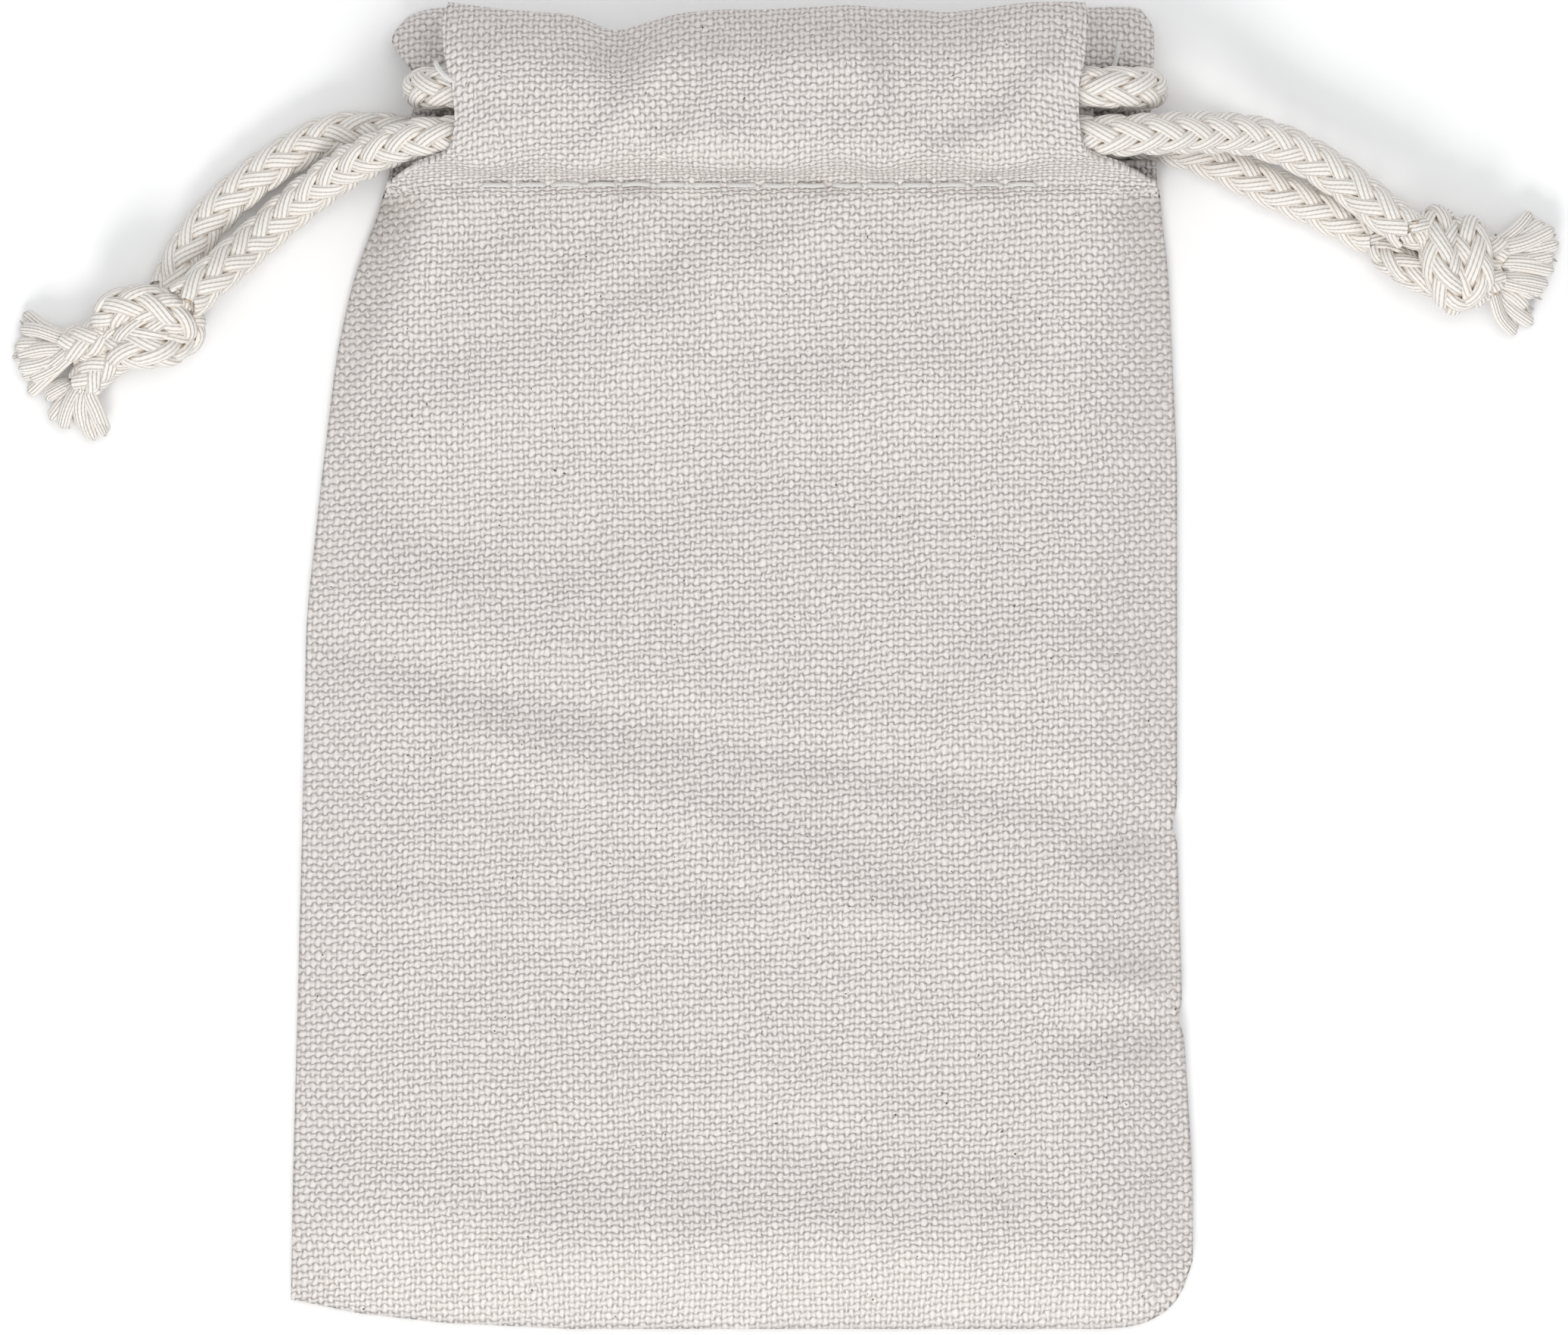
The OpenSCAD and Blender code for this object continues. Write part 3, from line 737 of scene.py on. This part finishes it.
def front_tunnel(place):
    """The front casing, from the stitch row over the cords, round the fold and inside."""
    ys, zs, x, y, hem, lift = tunnel_rows_at(
        tunnel_profile, (front_left_end, front_right_end), fold_line, front_cross, place
    )
    over = np.arange(tunnel_rows)[:, None] < outer_rows
    outer = np.clip((zs - 1.2) / 3, 0, 1) * over
    bulges = sum(np.exp(-(((x - c) / w) ** 2)) for c, w in lobes)
    slope = np.exp(-(((ys - bulge_y) / bulge_reach) ** 2)) * outer
    y = y - slope * bulges * bulge_depth
    creases = ridge_height(tunnel_folds, x, y, tunnel_relief)
    z = front_base + zs + outer * (hem + lift + creases + fine_wobble(x, y))
    pucker_places = np.arange(-38, 46, stitch_pitch)
    puckers = sum(np.exp(-(((x - c) / pucker_reach) ** 2)) for c in pucker_places)
    z = z - pucker_depth * puckers * np.exp(-(((ys - stitch_row) / 0.7) ** 2)) * over
    return np.stack([x, y, z], -1)


def back_tunnel(place):
    """The back casing, from inside round the fold and over the cords to the stitch row."""
    ys, zs, x, y, hem, lift = tunnel_rows_at(
        tunnel_profile[::-1], (back_left_end, back_right_end), back_fold_line, back_cross, place
    )
    over = np.arange(tunnel_rows)[:, None] >= tunnel_rows - outer_rows
    outer = np.clip((zs - 1.2) / 3, 0, 1) * over
    return np.stack([x, y, zs + outer * (hem + lift)], -1)


def whole_width(left, right):
    return across_cloth(columns, left, right)


seam_level = 1.75
belly_h, edge_band = 10, 14
mouth_share = 0.75
back_edge_h, back_edge_band = 0.25, 1.2


def front_skin():
    """The front rises from its seams to a flat belly, and at the top to the stitch row."""
    x, y, to_side, to_bottom = panel_points(columns, panel_rows)
    v = panel_rows[:, None] + 0 * x
    body = np.interp(v, [0, 0.4, mouth_share, 1], [0.9, 1, 1, 0])
    mouth_h = front_base + tunnel_profile[0][1] - seam_level
    rise = np.where(v < mouth_share, body * belly_h, mouth_h * (1 - body) + belly_h * body)
    to_mouth = np.clip((v - mouth_share) / (1 - mouth_share), 0, 1)
    band = edge_band * (1 - 0.4 * to_mouth)
    z = seam_level + rise * soften(to_side / band) * soften(to_bottom / edge_band)
    hold = np.clip(to_side / 4, 0, 1) * np.clip(to_bottom / 3, 0, 1)
    below_stitches = np.clip((casing_y + 1 - y) / 4, 0, 1)
    creases = ridge_height(front_folds, x, y, panel_relief)
    z = z + hold * (creases + fine_wobble(x, y) * below_stitches)
    return np.vstack([np.stack([x, y, z], -1), front_tunnel(whole_width)])


def back_skin():
    """The back lies flat on the table, and turns up a little at its seams."""
    x, y, to_side, to_bottom = panel_points(columns, panel_rows)
    edge = 1 - soften(np.minimum(to_side, to_bottom) / back_edge_band)
    return np.vstack([np.stack([x, y, edge * back_edge_h], -1), back_tunnel(whole_width)])


warp_pitch, weft_pitch, weft_slant = 0.63, 0.79, 0.065
slope_share = 0.55


def flat_places(skin):
    """Where each point lay on the flat cloth, so that the weave follows the folds."""
    across, along = skin[..., 0], skin[..., 1].copy()
    flat_rows = len(panel_rows) if len(skin) > len(panel_rows) else 1
    down = np.linalg.norm(np.diff(skin[flat_rows - 1 :], axis=0) * (1, 1, slope_share), axis=2)
    down = np.cumsum(down, axis=0)
    along[flat_rows:] = casing_y + 0.85 * down.mean(axis=1, keepdims=True) + 0.15 * down
    return across, along - weft_slant * across


def new_canvas(name, light, shadow):
    """Plain-woven cotton canvas, with uneven threads, slubs, a few seed flecks, and painted shade
    in the low places between its threads.
    """
    material, shader, at = new_material(name, "UV", Roughness=0.92, Sheen_Weight=0.1)
    x, y = (at.node("SeparateXYZ", None, {0: at}, k) for k in (0, 1))
    # Threads drift slowly, and shift a little from one to the next.
    drift_colour = noise(at, 0.11, 2, 1)
    drift = drift_colour.node("SeparateColor", None, {0: drift_colour})
    drift_up = noise(at, 0.13, 2)
    jitter = noise(at, 1.25, 1)
    jitter_up = noise(at, 1.6, 1)
    a = x * (1 / warp_pitch) + (drift - 0.5) * 1.6 + (jitter - 0.5) * 0.9
    b = y * (1 / weft_pitch) + (drift_up - 0.5) * 1.8 + (jitter_up - 0.5) * 0.55
    pi = math.pi
    wave = (a * pi).math("COSINE", a * pi)
    b = b + wave * (b * pi).math("SINE", b * pi) * 0.17
    # Which warp and which weft thread a point is on, and how far from its middle.
    ka, jb = a.math("ROUND", a), b.math("ROUND", b)
    fa, fb = a - ka, b - jb
    turn = (ka * pi).math("COSINE", ka * pi)
    turn_up = (jb * pi).math("COSINE", jb * pi)
    wave_up = (b * pi).math("COSINE", b * pi)
    thread = noise(ka.node("CombineXYZ", None, {0: ka * 3.7, 1: y * 0.05}), 1.0, 1)
    thread_up = noise(jb.node("CombineXYZ", None, {0: x * 0.07, 1: jb * 5.3}), 1.0, 1)
    # A warp thread is on top at every other crossing, and the fatter weft at the rest.
    warp = turn * wave_up * 0.4 + (1.0 - fa * fa * 4.0) * (0.05 + thread * 0.35)
    weft = (1.0 - fb * fb * 4.0) * (0.45 + thread_up * 0.5) - turn_up * wave * 0.55
    height = warp.math("SMOOTH_MAX", warp, weft, 0.1)
    fuzz = noise(at, 7.0, 2)
    # Painted shade: where the weave is low, between its threads, the colour turns to the shadow
    # colour.
    shade = height.step(-0.02, 0.74)
    tone = noise(at, 0.05, 3).mix(light, tuple(c * 0.965 for c in light))
    blotch = noise(at, 0.6, 3)
    tanned = tuple(c * k for c, k in zip(light, (0.97, 0.94, 0.9)))
    tone = blotch.step(0.62, 0.8).mix(tone, tanned)
    colour = shade.mix(shadow, tone)
    seed_brown = (0.16, 0.11, 0.07)
    fleck = noise(at, 1.9, 2)
    patch = noise(at, 0.31, 1)
    colour = (fleck.step(0.70, 0.72) * patch.step(0.5, 0.56)).mix(colour, seed_brown)
    paint(shader, colour, height + fuzz * 0.16 + jitter * 0.1, 0.0003)
    return material


# The second colour is the painted shade between the threads.
canvas = new_canvas("cotton_canvas", (0.815, 0.768, 0.74), (0.45, 0.4, 0.365))
slot_low_y, slot_high_y = 57.6, 68.9
left_slot_x, right_slot_x = -30.6, 40.6


def cut_slots(bm, slots):
    """Leaves the cloth open where the cords turn: each slot is a side, and its z range in mm."""
    for side, low, high in slots:
        edge = left_slot_x if side < 0 else right_slot_x
        middles = {f: f.calc_center_median() / MM for f in bm.faces}
        gone = [
            f for f, c in middles.items()
            if (c.x - edge) * side > 0 and slot_low_y < c.y < slot_high_y and low < c.z < high
        ]
        bmesh.ops.delete(bm, geom=gone, context="FACES")


def half_follows(made):
    """Moves a piece's placing into its own mesh, so that it stands at the origin."""
    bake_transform(made)


def lay_skin(skin, turned):
    """A skin of (rows, columns) points becomes a mesh that faces outwards."""
    bm, layers = new_fibre_mesh()
    across, along = flat_places(skin)
    if turned:
        skin, across, along = skin[:, ::-1], across[:, ::-1], along[:, ::-1]
    lay_grid(bm, skin, across, along, layers)
    bm.normal_update()
    return bm


def thicken(bm, slots, thick):
    """The mesh becomes a closed ply of cloth. Its outer face stays where it was."""
    cut_slots(bm, slots)
    bm.normal_update()
    bmesh.ops.solidify(bm, geom=bm.faces[:], thickness=thick * MM)
    bmesh.ops.recalc_face_normals(bm, faces=bm.faces[:])
    bm.normal_update()


near_middle = 0.3


def sew_cloth(name, skin, turned, slots, nodes):
    """The cloth in a left and a right half, which meet at x = 0 without a seam."""
    whole = lay_skin(skin, turned)
    meeting = {
        v.co.to_tuple(6): v.normal.copy() for v in whole.verts if abs(v.co.x) < same_point
    }
    halves = {}
    for hand, side in (("left", -1), ("right", 1)):
        half = whole.copy()
        wrong = [f for f in half.faces if f.calc_center_median().x * side < 0]
        bmesh.ops.delete(half, geom=wrong, context="FACES")
        thicken(half, slots, cloth_t)
        for vert in half.verts:
            if abs(vert.co.x) < near_middle * MM:
                vert.co.x = 0
        made = finish_mesh(half, f"{hand}_{name}", canvas)
        made.data.normals_split_custom_set_from_vertices(
            [meeting.get(v.co.to_tuple(6), v.normal) for v in made.data.vertices]
        )
        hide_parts(*nodes)
        half_follows(made)
        halves[hand] = made
    whole.free()
    return halves


front, back = front_skin(), back_skin()
front_slots = [(-1, 12, 13.8)]
back_slots = [(-1, 0.9, 12), (1, 0.9, 12)]
cloth = {
    "front": sew_cloth("front_cloth", front, False, front_slots, ("front_panel", "front_casing")),
    "back": sew_cloth("back_cloth", back, True, back_slots, ("back_panel", "back_casing")),
}

# ---- Hems at the casings' ends ----
# The raw ends of both casings are turned in by about 3 mm before the casings
# are folded, so each end has a second ply of canvas inside it.


def inside_of(skin, outward, gap):
    """A skin moved towards the cloth's inner side by gap."""
    down, sideways = np.gradient(skin, axis=0), np.gradient(skin, axis=1)
    normal = np.cross(sideways, down)
    normal /= np.linalg.norm(normal, axis=-1, keepdims=True)
    return skin - outward * gap * normal


hems = {"left": [], "right": []}
hem_t, hem_gap = 0.3, 0.03
hem_across = np.linspace(0.12, hem_w, 7)
for face, tunnel, outward, slots in (
    ("front", front_tunnel, 1, front_slots), ("back", back_tunnel, -1, back_slots),
):
    for hand, side in (("left", -1), ("right", 1)):
        def at_end(left, right, side=side):
            return left + hem_across if side < 0 else right - hem_across[::-1]

        ply = inside_of(tunnel(at_end)[3:-2], outward, cloth_t + hem_gap)
        bm = lay_skin(ply, face == "back")
        thicken(bm, slots, hem_t)
        name = f"{face}_{hand}_slit_hem"
        made = finish_mesh(bm, name + "_ply", canvas)
        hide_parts(name)
        half_follows(made)
        hems[hand].append((face, made))

# ---- Stitches ----
# White cotton thread. One lockstitched row closes each casing, and each stitch
# goes down into the cloth at both of its ends.
thread_d, loose_thread_d = 0.45, 0.5
stitch_long, stitch_sink, stitch_high, stitch_shoulder = 3.2, 0.3, 0.3, 0.22
thread, thread_shader, at = new_material("sewing_thread", "UV", Roughness=0.6, Sheen_Weight=0.2)
twist = at.node(
    "TexWave", {"bands_direction": "DIAGONAL"}, {"Vector": at, "Scale": 2.2, "Distortion": 0.6}
)
# Painted shade: the grooves of the twist are darker than its ridges.
white = twist.step(0.2, 0.7).mix((0.8, 0.78, 0.75), (0.95, 0.94, 0.92))
paint(thread_shader, white, twist, 0.00006)


def cloth_top(skin, x, y, rows):
    """The height of a skin near (x, y), among the rows given."""
    part = skin[rows]
    away = (part[..., 0] - x) ** 2 + (part[..., 1] - y) ** 2
    return part[..., 2].ravel()[away.argmin()]


def sewn_stitch(bm, layers, x, y, z):
    """One stitch from x onwards, slightly crooked, over cloth whose top is at z."""
    slant, end = 0.12 * math.sin(x * 1.7), x + stitch_long
    points = [
        (x, y, z - stitch_sink),
        (x + stitch_sink, y + slant * 0.2, z + stitch_shoulder),
        (x + stitch_long / 2, y + slant, z + stitch_high),
        (end - stitch_sink, y + slant * 0.4, z + stitch_shoulder),
        (end, y, z - stitch_sink),
    ]
    yarn_tube(bm, layers, points, thread_d, 0.9, 1)


# A loose end of thread at two of the casings' ends.
loose_threads = {
    ("back", "right"): [
        (43.2, 71.6, 7.2), (43, 70.2, 8), (42.4, 68.2, 8.2), (41.6, 67, 8), (40.6, 66.6, 8.3),
        (39.8, 67.2, 8.4),
    ],
    ("front", "left"): [
        (-32.6, 66.6, 20.2), (-33.8, 67.4, 20.6), (-34.6, 68.4, 20.2), (-34.9, 69.2, 19.4),
    ],
}
# Each row: its skin, the skin's rows beside it, and where its casing starts and ends.
last_panel_row = len(panel_rows) - 1
sewn_rows = {
    "front": (front, slice(last_panel_row - 1, last_panel_row + 11), -33.0, 39.0),
    "back": (back, slice(last_panel_row + 45, None), -40.3, 47.2),
}
row_margin, first_stitch = 3, 0.1
rows = {"left": [], "right": []}
for face, (skin, near, casing_start, casing_end) in sewn_rows.items():
    start, end = row_margin + casing_start, casing_end - row_margin
    count = int((end - start) / stitch_pitch)
    firsts = [start + (k + first_stitch) * stitch_pitch for k in range(count)]
    for hand, side in (("left", -1), ("right", 1)):
        bm, layers = new_fibre_mesh()
        for x in firsts:
            if (x + stitch_long / 2) * side > 0:
                z = cloth_top(skin, x + stitch_long / 2, stitch_row, near)
                sewn_stitch(bm, layers, x, stitch_row, z)
        if (face, hand) in loose_threads:
            yarn_tube(bm, layers, loose_threads[face, hand], loose_thread_d, 1, 1)
        made = finish_mesh(bm, f"{hand}_{face}_stitch_row", thread)
        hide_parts(face + "_casing_stitches")
        half_follows(made)
        rows[hand].append((face, made))

for face, halves in cloth.items():
    for hand, made in halves.items():
        sewn_on = [o for f, o in hems[hand] + rows[hand] if f == face]

# ---- Seams inside the pouch ----
# The raw edges of both cloths lie inside as seam allowances, oversewn and sewn
# through with the same white thread, with a short bar of stitches at the top.
lining, lining_shader, at = new_material("seam_allowance", Roughness=0.92)
x, y = (at.node("SeparateXYZ", None, {0: at}, k) for k in (0, 1))
grid_x, grid_y = x * (1000 / warp_pitch), y * (1000 / weft_pitch)
raw = grid_x.math("SINE", grid_x * math.pi) * grid_y.math("SINE", grid_y * math.pi)
# Painted shade: where its woven relief is low, its colour is darker.
paint(lining_shader, raw.step(-0.6, 0.8).mix((0.5, 0.46, 0.41), (0.8, 0.77, 0.73)), raw, 0.00015)

seam_thread, seam_shader, at = new_material("seam_thread", Roughness=0.6)
twist = noise(at, 2600, 1)
# Painted shade: where the thread's relief is low, its colour is darker.
paint(seam_shader, twist.step(0.3, 0.6).mix((0.7, 0.68, 0.65), (0.88, 0.87, 0.85)), twist, 0.00005)
for name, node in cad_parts.items():
    if name.endswith("_seam_allowance"):
        node.data.materials.clear()
        node.data.materials.append(lining)
    elif name.endswith(("_seam_stitches", "_overlock_thread", "_bar_tack")):
        node.data.materials.clear()
        node.data.materials.append(seam_thread)
